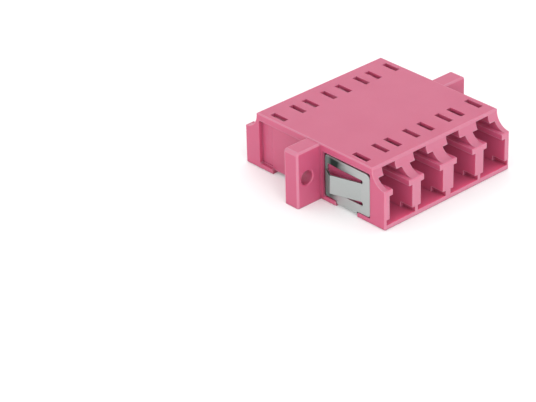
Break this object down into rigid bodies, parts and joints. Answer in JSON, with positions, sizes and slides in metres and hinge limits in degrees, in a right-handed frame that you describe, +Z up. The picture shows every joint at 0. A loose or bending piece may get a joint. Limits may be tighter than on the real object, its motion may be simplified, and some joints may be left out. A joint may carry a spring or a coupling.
{
  "type": "lc fibre adapter",
  "caption": "Panel-mount fibre adapter: a low moulded block with square latch ports in a row at both ends, a flange ear on each side and a U-shaped spring clip.",
  "frame": {"origin": "centre of the underside, at mid-width and mid-length", "axes": "+X across the row of ports, +Z up through the roof, -Y out of the ports on the clip's half"},
  "size_m": [0.0344, 0.0292, 0.0092],
  "materials": {
    "housing_plastic": "satin moulded, rose pink",
    "clip_steel": "satin rolled spring steel",
    "holder_plastic": "satin moulded, rose pink",
    "sleeve_ceramic": "ground zirconia, white"
  },
  "bodies": {
    "root": {"housing": "housing_plastic", "clip": "clip_steel", "split_sleeve_1": "sleeve_ceramic", "front_holder_1": "holder_plastic", "rear_holder_1": "holder_plastic", "split_sleeve_2": "sleeve_ceramic", "front_holder_2": "holder_plastic", "rear_holder_2": "holder_plastic", "split_sleeve_3": "sleeve_ceramic", "front_holder_3": "holder_plastic", "rear_holder_3": "holder_plastic", "split_sleeve_4": "sleeve_ceramic", "front_holder_4": "holder_plastic", "rear_holder_4": "holder_plastic"}
  },
  "joints": []
}
